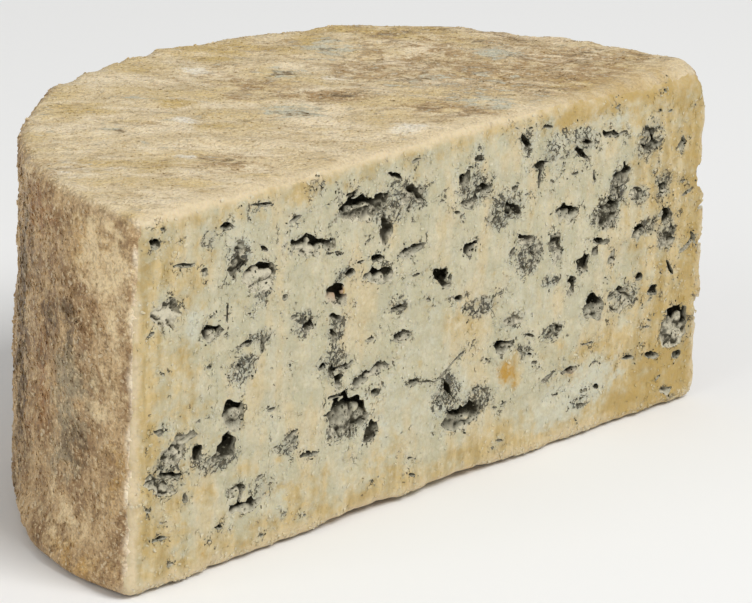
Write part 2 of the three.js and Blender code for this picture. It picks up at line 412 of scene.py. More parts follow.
for _ in range(nick_count):
    nick_width = nick_rng.uniform(0.5, 1.4)
    slits.append((nick_rng.uniform(-96, 96), nick_rng.uniform(2, 88), nick_width,
                  nick_rng.uniform(0.3, 0.5), nick_rng.normal(-8, 22)))
print(len(caves + pits + hollows + slits), "eyes and", len(crazed), "crazed patches")

# %% [markdown]
# ## Opening the eyes
# Each eye starts as a tilted, flattened ball. Its surroundings bend it: noise warps it, and the
# curd joints push its outline out into points and let the grains bulge in, which is what keeps the
# eyes from looking drilled. Caves are sheared, so that they climb as they go in. Soft curd bulges
# back into caves and hollows from below: it fills them to just behind the cut, and leaves the thin
# dark crescent under the upper lip and the fine crease round its foot that blue cheese shows.

# %% Eye field
eye_step = 0.48
eye_axes = (steps(-106, 106, eye_step), steps(-1, 10.5, eye_step, 2.5, 0.9), steps(-1, 93, eye_step))
far_away = 6.0
margin = 4.0
crease = 0.6


def bulge_distance(across, over, y, half_width, half_height, recess):
    """Rough distance to the curd that bulges into an eye, its front recess behind the cut."""
    wide = max(0.7 * half_width, half_width - crease)
    gap = min(0.6 * half_height, 2.0)
    lowered = (gap - crease) / 2
    tall = half_height - (gap + crease) / 2
    from_middle = np.sqrt((across / wide) ** 2 + ((over + lowered) / tall) ** 2)
    front = recess + 0.9 * from_middle**2
    return np.maximum((from_middle - 1) * min(wide, tall), front - y)


def eye_distance(x, y, z, place, rise, lumps, recess):
    """Rough distance to one eye, and the block of the grid that it can touch."""
    x0, z0, half_width, half_height, depth, tilt, _ = place
    reach = max(half_width, half_height) + margin
    span_x = np.nonzero(np.abs(x[:, 0, 0] - x0) < reach)[0]
    span_z = np.nonzero(np.abs(z[0, 0, :] - z0) < reach)[0]
    block = np.s_[span_x[0]:span_x[-1] + 1, :, span_z[0]:span_z[-1] + 1]
    bent = min(1.0, 0.5 * half_height)
    along = x[block[0]] - x0 + bent * lumps[0][block]
    above = z[:, :, block[2]] - z0 + bent * lumps[1][block] - rise * y
    turn = math.radians(tilt)
    across = along * math.cos(turn) + above * math.sin(turn)
    over = above * math.cos(turn) - along * math.sin(turn)
    size = np.sqrt((across / half_width) ** 2 + (y / depth) ** 2 + (over / half_height) ** 2)
    hole = (size - 1) * min(half_width, half_height, depth)
    if recess is None:
        return block, hole
    over = over + rise * y * math.cos(turn)
    return block, np.maximum(hole, -bulge_distance(across, over, y, half_width, half_height, recess))


def eye_field():
    """The field of all eyes, how much mould lines the nearest one, and how crazed each point is."""
    x, y, z = spread(eye_axes)
    lumps = [smooth_noise(x, y, z, 3.4, seed) + 0.6 * smooth_noise(x, y, z, 1.5, seed + 1)
             for seed in (21, 23)]
    shape = np.broadcast_shapes(x.shape, y.shape, z.shape)
    field = np.full(shape, far_away, np.float32)
    lining = np.zeros(shape, np.float32)
    give = np.zeros(shape, np.float32)
    thin = [(*p[:4], min(3.0, 1.6 * p[2]), p[4], 1.0) for p in slits]
    # Each kind of eye, how steeply it climbs inwards and how far its bulge stands back.
    kinds = ((hollows, 0.0, 0.3), (caves, 0.8, 0.5), (pits, 0.35, None), (thin, 0.4, None),
             (chips, 0.0, None))
    for kind, rise, recess in kinds:
        for place in kind:
            block, distance = eye_distance(x, y, z, place, rise, lumps, recess)
            closer = distance < field[block]
            field[block] = np.where(closer, distance, field[block])
            lining[block] = np.where(closer, place[6], lining[block])
            give[block] = np.where(closer, min(0.8, 0.55 * place[3]), give[block])
    craze = np.zeros(shape, np.float32)
    for x0, z0, half_width, half_height, strength in crazed:
        ring = 1 - np.sqrt(((x - x0) / half_width) ** 2 + ((z - z0) / half_height) ** 2)
        craze = np.maximum(craze, strength * np.clip(2 * ring, 0, 1) * (y < 2.4))
    touched = (field < 2.0) | (craze > 0)
    points = [np.broadcast_to(v, shape)[touched] for v in (x, y, z)]
    joint = curd_joint(*points, (4.6, 4.2, 3.2), 31)
    fine = smooth_noise(*points, 0.9, 32)
    rough = give[touched] * (np.clip(joint / 1.4, 0, 1) - 0.55 + 0.35 * fine)
    patchy = 0.5 + 0.5 * smooth_noise(*points, 4.0, 33)
    inwards = np.maximum(points[1], 0)
    parted = np.clip(1.7 * patchy - 0.4, 0, 1)
    crack = 0.8 * joint - 0.55 * craze[touched] * parted + 0.3 * inwards
    flat = smooth_noise(points[0], points[1], 1.6 * points[2], 3.4, 34)
    pitted = 1.4 * (0.8 - flat) - 0.5 * craze[touched] * patchy + 0.3 * inwards
    opened = np.where(craze[touched] > 0, np.minimum(crack, pitted), far_away)
    field[touched] = np.minimum(field[touched] + rough, opened)
    lining[touched] = np.where(opened < field[touched] + 1e-6, 1.0, lining[touched])
    return field, lining, craze


eyes_near, eyes_lined, eyes_crazed = eye_field()
padded = eyes_near.copy()
for side in (0, -1):
    padded[side] = far_away
    padded[:, side] = far_away
    padded[:, :, side] = far_away
eyes = wrap(padded, eye_axes, "eyes")

# %% [markdown]
# ## Cutting the eyes out
# A Boolean modifier takes the eyes out of the half wheel. The Manifold solver is used, because both
# meshes are closed and it stays quick on a hundred thousand faces. It keeps each face's material
# slot, so the walls of the eyes can wear another finish than the smooth cut.

# %% Cheese mesh
finish_names = ("rind", "paste", "eye_wall", "mould")
rind_slot, paste_slot, eye_slot = 0, 1, 2
finishes = {name: bpy.data.materials.new(name) for name in finish_names}
most_triangles = 192000


def new_tree(name, inputs):
    """An empty Geometry Nodes tree with named inputs, and its input and output nodes."""
    tree = bpy.data.node_groups.new(name, "GeometryNodeTree")
    tree.interface.new_socket("Geometry", in_out="INPUT", socket_type="NodeSocketGeometry")
    for title, kind, value in inputs:
        socket = tree.interface.new_socket(title, in_out="INPUT", socket_type=kind)
        if value is not None:
            socket.default_value = value
    tree.interface.new_socket("Geometry", in_out="OUTPUT", socket_type="NodeSocketGeometry")
    return tree, tree.nodes.new("NodeGroupInput"), tree.nodes.new("NodeGroupOutput")


def loose_bits_tree():
    """Deletes every shell of a mesh that has fewer points than the input Smallest."""
    tree, inputs, outputs = new_tree("drop_loose_bits", [("Smallest", "NodeSocketInt", 5000)])
    shell = tree.nodes.new("GeometryNodeInputMeshIsland")
    count = tree.nodes.new("GeometryNodeAccumulateField")
    count.data_type = "INT"
    small = tree.nodes.new("FunctionNodeCompare")
    small.data_type = "INT"
    small.operation = "LESS_THAN"
    drop = tree.nodes.new("GeometryNodeDeleteGeometry")
    count.inputs["Value"].default_value = 1
    tree.links.new(shell.outputs["Island Index"], count.inputs["Group ID"])
    tree.links.new(count.outputs["Total"], small.inputs["A"])
    tree.links.new(inputs.outputs["Smallest"], small.inputs["B"])
    tree.links.new(inputs.outputs["Geometry"], drop.inputs["Geometry"])
    tree.links.new(small.outputs["Result"], drop.inputs["Selection"])
    tree.links.new(drop.outputs["Geometry"], outputs.inputs["Geometry"])
    return tree


def count_triangles(mesh):
    """How many triangles the faces of a mesh make."""
    sides = np.empty(len(mesh.polygons), np.int32)
    mesh.polygons.foreach_get("loop_total", sides)
    return int((sides - 2).sum())


def made_plain(made, name):
    """A plain mesh object with all modifiers of the given one applied; the given one is removed."""
    seen = made.evaluated_get(bpy.context.evaluated_depsgraph_get())
    mesh = bpy.data.meshes.new_from_object(seen)
    mesh.name = name
    plain = bpy.data.objects.new(name, mesh)
    bpy.context.scene.collection.objects.link(plain)
    bpy.data.objects.remove(made)
    return plain


def cut_out(solid, holes, name):
    """A new object: solid with holes taken out of it, as a plain mesh."""
    for made in (solid, holes):
        for finish in finish_names:
            made.data.materials.append(finishes[finish])
    holes.data.polygons.foreach_set("material_index", [eye_slot] * len(holes.data.polygons))
    cutter = solid.modifiers.new("eyes", "BOOLEAN")
    cutter.operation = "DIFFERENCE"
    cutter.solver = "MANIFOLD"
    cutter.object = holes
    solid.modifiers.new("loose", "NODES").node_group = loose_bits_tree()
    made = made_plain(solid, name)
    bpy.data.objects.remove(holes)
    triangles = count_triangles(made.data)
    print(name, "has", triangles, "triangles before thinning")
    if triangles > most_triangles:
        made.modifiers.new("thin", "DECIMATE").ratio = most_triangles / triangles
        made = made_plain(made, name)
    return made


cheese = cut_out(body, eyes, "cheese")
print("cheese", len(cheese.data.vertices), "points", count_triangles(cheese.data), "triangles")

# %% [markdown]
# ## Where the colours lie
# The paste isn't one colour. Next to the rind it dried to ochre, in the middle it is ivory, and
# where the mould is near it turns a chalky blue-white. The rind has its own patches: pale bloom,
# dark damp spots, grey-green mould and red-brown stains. These are broad and soft, so they are
# painted on the mesh's points as attributes, from ellipses placed where this cheese has them:
# place, height, half width, half height and strength.

# %% Patches of colour on the cut
cut_patches = {
    "ochre": [
        (-97, 45, 4, 50, 1.0), (-92, 10, 8, 12, 0.8), (-60, 2, 45, 6, 0.8), (0, 3, 40, 6, 0.9),
        (60, 2, 45, 4, 0.8), (20, 8, 14, 6, 0.5), (-44, 12, 8, 6, 0.7), (-18, 12, 12, 5, 0.6),
        (-64, 23, 4, 3, 0.8), (-53, 22, 3, 2, 0.7), (-80, 22, 8, 6, 0.4), (-86, 50, 6, 10, 0.4),
        (-93, 80, 5, 8, 0.7), (-75, 88, 10, 2.5, 0.7), (-47, 87, 8, 3, 1.0), (0, 88, 30, 4, 0.6),
        (48, 86, 12, 4, 0.9), (72, 86, 14, 5, 0.6), (92, 82, 9, 10, 1.0), (98, 60, 4, 30, 0.8),
        (97, 20, 4, 20, 0.8), (85, 10, 14, 8, 0.95), (75, 15, 8, 5, 0.7), (12, 41, 7, 4, 0.6),
        (4, 44, 5, 3, 0.5), (30, 25, 4, 6, 0.7), (43, 26, 6, 5, 0.5), (60, 24, 8, 4, 0.6),
        (50, 17, 6, 4, 0.6), (35, 8, 12, 6, 0.5), (90, 32, 6, 6, 0.5), (-85, 76, 10, 8, 0.6),
        (80, 12, 28, 18, 0.95), (90, 50, 22, 60, 0.85), (-86, 50, 14, 44, 0.4), (-60, 8, 40, 12, 0.3),
    ],
    "tan": [
        (86, 9, 13, 9, 1.0), (76, 5, 18, 6, 0.8), (97, 40, 6, 36, 0.7), (72, 88, 30, 7, 0.78),
        (92, 80, 8, 12, 0.6), (84, 30, 6, 10, 0.5), (-96, 30, 3, 26, 0.4), (91, 13, 4, 4, 1.0),
        (83, 15, 4, 2, 0.8), (95, 44, 3, 5, 0.8), (42, 86, 8, 4, 0.6), (62, 22, 6, 4, 0.5),
    ],
    "chalk": [
        (-82, 62, 3, 5, 1.0), (-67, 78, 4, 4, 0.8), (-68, 46, 6, 4, 0.5), (-53, 12, 3, 9, 0.5),
        (-20, 25, 14, 14, 0.6), (5, 22, 14, 10, 0.6), (-5, 40, 10, 8, 0.4), (58, 14, 14, 7, 1.0),
        (44, 10, 13, 6, 0.6), (32, 40, 10, 10, 0.4), (66, 82, 5, 3, 0.8), (10, 52, 12, 8, 0.3),
        (44, 7, 8, 4, 0.5),
    ],
    "orange": [
        (26, 24.8, 3.6, 3.6, 1.0), (29.3, 21.5, 1.4, 3.4, 0.8), (-78, 5, 2, 2.5, 0.5),
        (50.5, 18, 2.4, 1.2, 0.7), (75, 66, 2, 2, 0.4), (-34, 58.8, 3.4, 1.6, 0.8),
    ],
}

# %% Patches on the top and round the rind
# On the top a patch's place is x and y. On the rind it is the way round from the right end of the
# cut and the height, and all but the last 75 mm of it is out of the photo: there the same kinds of
# patch lie by chance.
top_patches = {
    "pale": [(-5, 79, 5, 3, 1.0), (-39, 48, 4, 2.5, 1.0), (-58, 28, 4, 2.5, 0.9), (16, 52, 5, 4, 0.7),
             (-3, 9, 5, 4, 1.0), (-84, 36, 14, 12, 0.4), (74, 6, 12, 6, 0.3), (-20, 14, 18, 6, 0.3)],
    "grey": [(-13, 37, 7, 6, 1.0), (28, 10, 8, 5, 0.9), (62, 38, 7, 7, 0.8), (10, 63, 6, 6, 0.8),
             (34, 71, 8, 9, 0.8), (-34, 68, 3, 3, 0.6), (-56, 54, 3, 3, 0.6), (36, 26, 22, 16, 0.4)],
    "brown": [(4, 41, 10, 6, 0.9), (-3, 60, 7, 5, 0.8), (-16, 55, 4, 3, 0.9), (-54, 20, 11, 8, 0.6),
              (51, 0, 5, 4, 0.8), (40, 28, 26, 16, 0.7), (89, 13, 7, 4, 0.5), (24, 50, 10, 10, 0.6),
              (66, 20, 34, 24, 0.75), (44, 62, 34, 22, 0.5), (-4, 70, 18, 10, 0.4),
              (18, 12, 16, 10, 0.75), (-4, 47, 12, 6, 0.5)],
    "dark": [(10, 62, 5, 2, 0.9), (-13, 35, 7, 1.5, 0.8), (34, 71, 4, 3, 0.7), (-56, 52, 3, 2, 0.8),
             (-54, 22, 9, 1.5, 0.5), (6, 40, 7, 1.5, 0.7), (51, 0, 4, 2, 0.7), (31, 38, 6, 2, 0.7)],
    "yellow": [(-50, 72, 14, 6, 0.7), (-84, 30, 8, 16, 0.5), (-31, 60, 6, 6, 0.9),
               (-38, 40, 5, 4, 0.8), (5, 88, 10, 8, 0.9), (-15, 89, 5, 5, 0.8),
               (-68, 29, 9, 9, 0.8), (61, 63, 14, 9, 0.9), (36, 80, 6, 8, 0.8), (22, 36, 5, 5, 0.6),
               (66, 2, 40, 7, 0.9), (52, 2, 12, 10, 0.7), (80, 3, 14, 10, 0.7),
               (14, 90, 40, 7, 0.8), (54, 74, 20, 10, 0.8)],
}
rind_patches = {
    "pale": [(262, 89, 8, 3, 0.8), (304, 48, 8, 16, 0.5), (290, 13, 20, 10, 0.45), (309, 66, 6, 12, 0.5),
             (303, 79, 13, 12, 0.9)],
    "grey": [(289, 40, 8, 20, 0.9), (299, 48, 4, 10, 0.5), (256, 60, 6, 22, 0.8), (284, 24, 8, 5, 0.6)],
    "brown": [(272, 82, 12, 8, 0.9), (275, 46, 5, 20, 0.9), (300, 70, 8, 5, 0.6), (262, 30, 8, 10, 0.6),
              (296, 60, 10, 9, 0.5), (284, 70, 9, 7, 0.5)],
    "dark": [(287, 92, 4, 3, 1.0), (288, 61, 13, 9, 0.55), (276, 54, 6, 10, 0.6), (254, 44, 10, 40, 0.85),
             (293, 31, 6, 6, 0.7), (297, 86, 4, 2, 0.5), (268, 68, 5, 6, 0.5)],
    "yellow": [(300, 80, 15, 9, 0.8), (296, 5, 14, 6, 0.6), (308, 30, 5, 14, 0.5), (268, 90, 8, 3, 0.6)],
}
hidden_round = 236.0
hidden_patches_of_a_kind = 26
patch_rng = np.random.default_rng(41)
for kind, patches in rind_patches.items():
    for _ in range(hidden_patches_of_a_kind):
        place = (patch_rng.uniform(-4, hidden_round), patch_rng.uniform(4, 88))
        half_sizes = (patch_rng.uniform(4, 10), patch_rng.uniform(3, 14))
        strength = patch_rng.uniform(0.4, 0.9) * (0.6 if kind == "dark" else 1.0)
        patches.append((*place, *half_sizes, strength))
print({kind: len(patches) for kind, patches in rind_patches.items()}, "patches round the rind")


def patch_amount(u, v, patches, turn=0.0):
    """0 to 1: how strongly soft ellipses cover each point."""
    left = np.ones(len(u))
    for u0, v0, half_width, half_height, strength in patches:
        along = (u - u0) * math.cos(turn) + (v - v0) * math.sin(turn)
        across = (v - v0) * math.cos(turn) - (u - u0) * math.sin(turn)
        away = np.hypot(along / half_width, across / half_height)
        left = left * (1 - strength * np.clip(1.4 - away, 0, 1))
    return 1 - left


def paint(made, name, values):
    """Stores one number per point of a mesh, for its material to read."""
    layer = made.data.attributes.new(name, "FLOAT", "POINT")
    layer.data.foreach_set("value", np.asarray(values, np.float32))


def vectors_of(items, key):
    """One row of three numbers for each point or face."""
    flat = np.empty(3 * len(items), np.float32)
    items.foreach_get(key, flat)
    return flat.reshape(-1, 3)


def look_up(field, points, outside=0.0):
    """Value of the eyes' grid at the nearest sample to each point."""
    places = [np.rint(np.interp(points[:, k], eye_axes[k], np.arange(len(eye_axes[k])))).astype(int)
              for k in range(3)]
    return np.where(points[:, 1] < eye_axes[1][-1], field[tuple(places)], outside)


def soft_step(value, start, end):
    """0 before start, 1 past end, and smooth between them."""
    share = np.clip((value - start) / (end - start), 0, 1)
    return share * share * (3 - 2 * share)


# %% Paint the cheese
spots = vectors_of(cheese.data.vertices, "co")
outwards = vectors_of(cheese.data.vertices, "normal")
x, y, z = spots.T
round_rind = wheel_radius * np.arctan2(np.maximum(y, 0), x)
in_eye = look_up(eyes_near, spots, far_away) < 0.5 * eye_step
from_side = wheel_radius - np.hypot(x, y)
from_top = wheel_height - z
topness = soft_step(from_side - from_top, -2.5, 2.5)
from_rind = np.minimum(np.minimum(wheel_radius - np.abs(x), 1.3 * from_top), 0.9 * z)
dried = 0.8 * bell(from_rind / 9)
for kind, patches in cut_patches.items():
    amount = patch_amount(x, z, patches)
    paint(cheese, kind, np.maximum(amount, dried) if kind == "ochre" else amount)
for kind in top_patches:
    on_top = patch_amount(x, y, top_patches[kind], wrinkle_turn)
    if kind == "dark":
        on_top = np.maximum(on_top, 0.9 * groove_amount(x, y))
    on_rind = patch_amount(round_rind, z, rind_patches[kind])
    paint(cheese, kind, topness * on_top + (1 - topness) * on_rind)
paint(cheese, "top", topness)
paint(cheese, "mould", np.clip(look_up(eyes_lined, spots), 0, 1))
near_eye = np.exp(-np.maximum(look_up(eyes_near, spots, far_away), 0) / 1.6)
stain = np.clip(look_up(eyes_crazed, spots), 0, 1)
paint(cheese, "near_eye", near_eye)
paint(cheese, "stain", stain)
ragged = 0.9 * smooth_noise(x, y, z, 4.0, 42) + 0.6 * smooth_noise(x, y, z, 1.8, 43)
from_rim = np.minimum(from_side, from_top)
rightness = to_the_right(x)
band_width = np.where(from_top < from_side, 1.0 + 1.6 * rightness, 0.6)
band = 1 - soft_step(from_rim + 0.5 * ragged, 1.2 * band_width, 3.2 * band_width)
band = band * (1 - soft_step(y + ragged, 1.2 * band_width, 4.5 * band_width)) * (1 - 0.2 * rightness)
foot_band = 0.75 * (1 - soft_step(z + ragged, 1.4, 4.6)) * (1 - soft_step(y + ragged, 1.0, 3.5))
band = np.maximum(band, foot_band)
paint(cheese, "edge", band)
paint(cheese, "depth", np.clip(y, 0, 12))
ochre_share = patch_amount(x, z, cut_patches["ochre"])[y < 1].mean()
print("ochre covers", round(float(ochre_share), 2), "of the cut")

# %% [markdown]
# ## Where the small things gather
# Loose bits lie where something made them. Grains of bloom grow on the open rind and top, but not
# in the eyes or on the smooth knife edge. Curd crumbles at the lips of the eyes, in the crazed
# patches and along the foot. Mould sheds its specks near the eyes that it lines.

# %% Paint where the small things gather
start_of_grain = np.where(topness > 0.5, 2.0 + 4.0 * rightness, 0.8)
clear_of_eyes = look_up(eyes_near, spots, far_away) > 1.0
facing_out = soft_step(y, start_of_grain, 3.0 * start_of_grain) * (outwards[:, 2] > -0.3) * clear_of_eyes
lip = near_eye * (y < 1.2) * (~in_eye)
foot_line = (1 - soft_step(z, 1.0, 3.5)) * (y < 1.5)
right_tear = soft_step(x, 95, 98) * (y < 3)
paint(cheese, "grains_on_rind", facing_out * (1 - topness))
paint(cheese, "grains_on_top", facing_out * topness)
gathered = 0.02 + 0.4 * lip + 0.2 * stain + 0.9 * foot_line + 0.2 * right_tear
paint(cheese, "crumbs", (y < 0.7) * (~in_eye) * gathered)
paint(cheese, "specks", (y < 5) * soft_step(near_eye, 0.6, 1.0) * look_up(eyes_lined, spots))
print("crumbs lie on", round(float((gathered > 0.2)[y < 0.7].mean()), 2), "of the cut")

# %% [markdown]
# ## A finish for each face
# The Boolean marked the walls of the eyes. Of the other faces, those at the cut are paste. The rest
# is rind, apart from a few that lie deep inside and so belong to the wall of an eye. The mesh then
# moves from the wheel's millimetres to its place in the world.

# %% Give each face its finish
cut_skin = 1.3
rind_skin = 3.5
slots = np.empty(len(cheese.data.polygons), np.int32)
cheese.data.polygons.foreach_get("material_index", slots)
middles = vectors_of(cheese.data.polygons, "center")
skin = np.minimum(wheel_radius - np.hypot(middles[:, 0], middles[:, 1]), wheel_height - middles[:, 2])
skin = np.minimum(skin, middles[:, 2])
slots[(slots == rind_slot) & (middles[:, 1] < cut_skin)] = paste_slot
slots[(slots == rind_slot) & (skin > rind_skin)] = eye_slot
cheese.data.polygons.foreach_set("material_index", slots)
print({name: int((slots == k).sum()) for k, name in enumerate(finish_names)}, "faces")

# %% Move it to its place
sharpest = math.radians(50)
cheese.data.vertices.foreach_set("co", to_world(spots).astype(np.float32).ravel())
cheese.data.polygons.foreach_set("use_smooth", [True] * len(slots))
cheese.data.set_sharp_from_angle(angle=sharpest)
cheese.data.update()
print("cheese is now in the world, with", len(slots), "faces")

# %% [markdown]
# ## Grains, crumbs and specks
# What makes a rind look like a rind is grain: bloom that dried into tiny knobs, thousands of them.
# They are scattered by Geometry Nodes, which drop points on the cheese where a painted number is
# high, set a small lumpy blob on each, and turn all of it into plain mesh. The same tree makes the
# crumbs that the knife left on the cut and the specks of mould round the eyes.

# %% Scattering tree


def chain(tree, kind, links, **settings):
    """Adds a node to any tree, with its inputs joined to sockets or set to values."""
    made = tree.nodes.new(kind)
    for key, value in settings.items():
        setattr(made, key, value)
    for key, value in links.items():
        if isinstance(value, bpy.types.NodeSocket):
            tree.links.new(value, made.inputs[key])
        else:
            made.inputs[key].default_value = value
    return made


def scatter_tree():
    """Points where a painted number is high, and on each a lumpy blob with its own size and tone."""
    tree, inputs, outputs = new_tree("scatter_blobs", [
        ("Where", "NodeSocketString", ""), ("Density", "NodeSocketFloat", 1e5),
        ("Smallest", "NodeSocketFloat", 0.0005), ("Largest", "NodeSocketFloat", 0.001),
        ("Flatness", "NodeSocketFloat", 0.7), ("Seed", "NodeSocketInt", 0),
        ("Material", "NodeSocketMaterial", None)])
    given = inputs.outputs
    where = chain(tree, "GeometryNodeInputNamedAttribute", {"Name": given["Where"]}, data_type="FLOAT")
    thick = chain(tree, "ShaderNodeMath", {0: where.outputs["Attribute"], 1: given["Density"]},
                  operation="MULTIPLY")
    points = chain(tree, "GeometryNodeDistributePointsOnFaces",
                   {"Mesh": given["Geometry"], "Density": thick.outputs[0], "Seed": given["Seed"]})
    ball = chain(tree, "GeometryNodeMeshIcoSphere", {"Radius": 0.5, "Subdivisions": 1})
    lumps = chain(tree, "ShaderNodeTexNoise", {"Scale": 2.2, "Detail": 0.0}, noise_dimensions="3D")
    centred = chain(tree, "ShaderNodeVectorMath", {0: lumps.outputs["Color"], 1: (0.5, 0.5, 0.5)},
                    operation="SUBTRACT")
    pushed = chain(tree, "ShaderNodeVectorMath", {0: centred.outputs[0], "Scale": 0.9}, operation="SCALE")
    blob = chain(tree, "GeometryNodeSetPosition",
                 {"Geometry": ball.outputs["Mesh"], "Offset": pushed.outputs[0]})
    size = chain(tree, "FunctionNodeRandomValue",
                 {2: given["Smallest"], 3: given["Largest"], "Seed": given["Seed"]}, data_type="FLOAT")
    longer = chain(tree, "FunctionNodeRandomValue", {2: 0.8, 3: 1.7, "Seed": 5}, data_type="FLOAT")
    shape = chain(tree, "ShaderNodeCombineXYZ",
                  {"X": longer.outputs[1], "Y": 1.0, "Z": given["Flatness"]})
    scale = chain(tree, "ShaderNodeVectorMath", {0: shape.outputs[0], "Scale": size.outputs[1]},
                  operation="SCALE")
    placed = chain(tree, "GeometryNodeInstanceOnPoints",
                   {"Points": points.outputs["Points"], "Instance": blob.outputs["Geometry"],
                    "Rotation": points.outputs["Rotation"], "Scale": scale.outputs[0]})
    spin = chain(tree, "FunctionNodeRandomValue",
                 {0: (-0.2, -0.2, 0.0), 1: (0.2, 0.2, math.tau), "Seed": 9}, data_type="FLOAT_VECTOR")
    turned = chain(tree, "GeometryNodeRotateInstances",
                   {"Instances": placed.outputs[0], "Rotation": spin.outputs[0]})
    tone = chain(tree, "FunctionNodeRandomValue", {2: 0.0, 3: 1.0, "Seed": 11}, data_type="FLOAT")
    toned = chain(tree, "GeometryNodeStoreNamedAttribute",
                  {"Geometry": turned.outputs[0], "Name": "tone", "Value": tone.outputs[1]},
                  data_type="FLOAT", domain="INSTANCE")
    real = chain(tree, "GeometryNodeRealizeInstances", {"Geometry": toned.outputs[0]})
    dressed = chain(tree, "GeometryNodeSetMaterial",
                    {"Geometry": real.outputs[0], "Material": given["Material"]})
    tree.links.new(dressed.outputs[0], outputs.inputs["Geometry"])
    return tree


scatter = scatter_tree()


def set_inputs(modifier, values):
    """Sets a modifier's inputs by the identifiers of their sockets."""
    for item in modifier.node_group.interface.items_tree:
        if item.item_type == "SOCKET" and item.in_out == "INPUT" and item.name in values:
            modifier[item.identifier] = values[item.name]


def scattered(name, where, per_square_mm, smallest, largest, flatness, seed, finish):
    """A plain mesh of small blobs on the cheese, thickest where the attribute where is high."""
    source = bpy.data.objects.new(name + "_source", cheese.data.copy())
    bpy.context.scene.collection.objects.link(source)
    modifier = source.modifiers.new("scatter", "NODES")
    modifier.node_group = scatter
    set_inputs(modifier, {"Where": where, "Density": per_square_mm * mm_per_m**2, "Seed": seed,
                          "Smallest": smallest / mm_per_m, "Largest": largest / mm_per_m,
                          "Flatness": flatness, "Material": finishes[finish]})
    made = made_plain(source, name)
    print(name, count_triangles(made.data), "triangles")
    return made


# %% Scatter them
small_things = [
    scattered("rind_grains", "grains_on_rind", 0.34, 0.3, 1.1, 0.7, 51, "rind"),
    scattered("top_grains", "grains_on_top", 0.5, 0.3, 0.9, 0.35, 52, "rind"),
    scattered("curd_crumbs", "crumbs", 1.7, 0.25, 0.9, 0.6, 53, "paste"),
    scattered("mould_specks", "specks", 0.5, 0.2, 0.6, 0.5, 54, "mould"),
]

# %% [markdown]
# ## Node helpers
# Each finish below is a short recipe of shader nodes. These helpers add a node and join its inputs
# in one line, and give the few steps that every recipe repeats: noise of a real size, a soft
# threshold, and one colour laid over another.

# %% Node helpers


def srgb(red, green, blue):
    """A colour as a photo shows it, 0 to 255, as the linear colour that a shader wants."""
    parts = [value / 255 for value in (red, green, blue)]
    return (*[p / 12.92 if p < 0.04045 else ((p + 0.055) / 1.055) ** 2.4 for p in parts], 1.0)


def attribute(tree, name):
    """The number that was painted on the mesh, or on a grain, under a name."""
    return chain(tree, "ShaderNodeAttribute", {}, attribute_name=name).outputs["Fac"]


def math_of(tree, operation, a, b=0.0, c=0.0):
    return chain(tree, "ShaderNodeMath", {0: a, 1: b, 2: c}, operation=operation).outputs[0]


def noise(tree, place, size, detail=3.0, rough=0.55):
    """Noise from 0 to 1 with lumps about size millimetres across; size may be a socket."""
    scale = math_of(tree, "DIVIDE", 1.0, size)
    inputs = {"Vector": place, "Scale": scale, "Detail": detail, "Roughness": rough}
    return chain(tree, "ShaderNodeTexNoise", inputs).outputs["Fac"]


def ramp(tree, value, start, end, low=0.0, high=1.0):
    """Smooth step from low to high as value goes from start to end."""
    inputs = {"Value": value, "From Min": start, "From Max": end, "To Min": low, "To Max": high}
    made = chain(tree, "ShaderNodeMapRange", inputs, interpolation_type="SMOOTHSTEP")
    return made.outputs["Result"]


def lay(tree, amount, under, over):
    """Colour over laid on colour under by amount."""
    return chain(tree, "ShaderNodeMix", {0: amount, 6: under, 7: over}, data_type="RGBA").outputs[2]


def tint(tree, value, start, end, most, under, over):
    """Colour over laid on colour under, more and more up to most as value goes from start to end."""
    return lay(tree, ramp(tree, value, start, end, 0.0, most), under, over)


def times(tree, a, b):
    return math_of(tree, "MULTIPLY", a, b)


def times_plus(tree, a, b, c):
    """a times b, plus c."""
    return math_of(tree, "MULTIPLY_ADD", a, b, c)


def millimetres(tree, stretch=(1.0, 1.0, 1.0)):
    """Object coordinates in millimetres, squeezed where a pattern is drawn out."""
    place = chain(tree, "ShaderNodeTexCoord", {}).outputs["Object"]
    scale = tuple(mm_per_m / s for s in stretch)
    return chain(tree, "ShaderNodeMapping", {"Vector": place, "Scale": scale}).outputs[0]


# %% [markdown]
# ## Four effects that the finishes share
# - Blotch edge: a painted patch is soft, but a real stain ends in ragged blotches. The patch's
#   number is added to noise, and the sum is cut at a soft threshold.
# - Mould specks: tiny dark dots that crowd where an amount is high.
# - Grain relief: the height of a lumpy, granular surface, with a mask of its low places.
# - Fine lines: thin, broken, wandering lines, where noise crosses its middle value. They are wider
#   and join up where an amount is high: cracks in the curd, wrinkles on the top.
#
# Each is a shader node group, made once and placed in several materials with its own values.

# %% Shared node groups


def new_group(name, inputs, outputs):
    """An empty shader node group, its input sockets by name and its output node."""
    group = bpy.data.node_groups.new(name, "ShaderNodeTree")
    for title, kind, value in inputs:
        socket = group.interface.new_socket(title, in_out="INPUT", socket_type=kind)
        if value is not None:
            socket.default_value = value
    for title in outputs:
        group.interface.new_socket(title, in_out="OUTPUT", socket_type="NodeSocketFloat")
    return group, group.nodes.new("NodeGroupInput").outputs, group.nodes.new("NodeGroupOutput").inputs


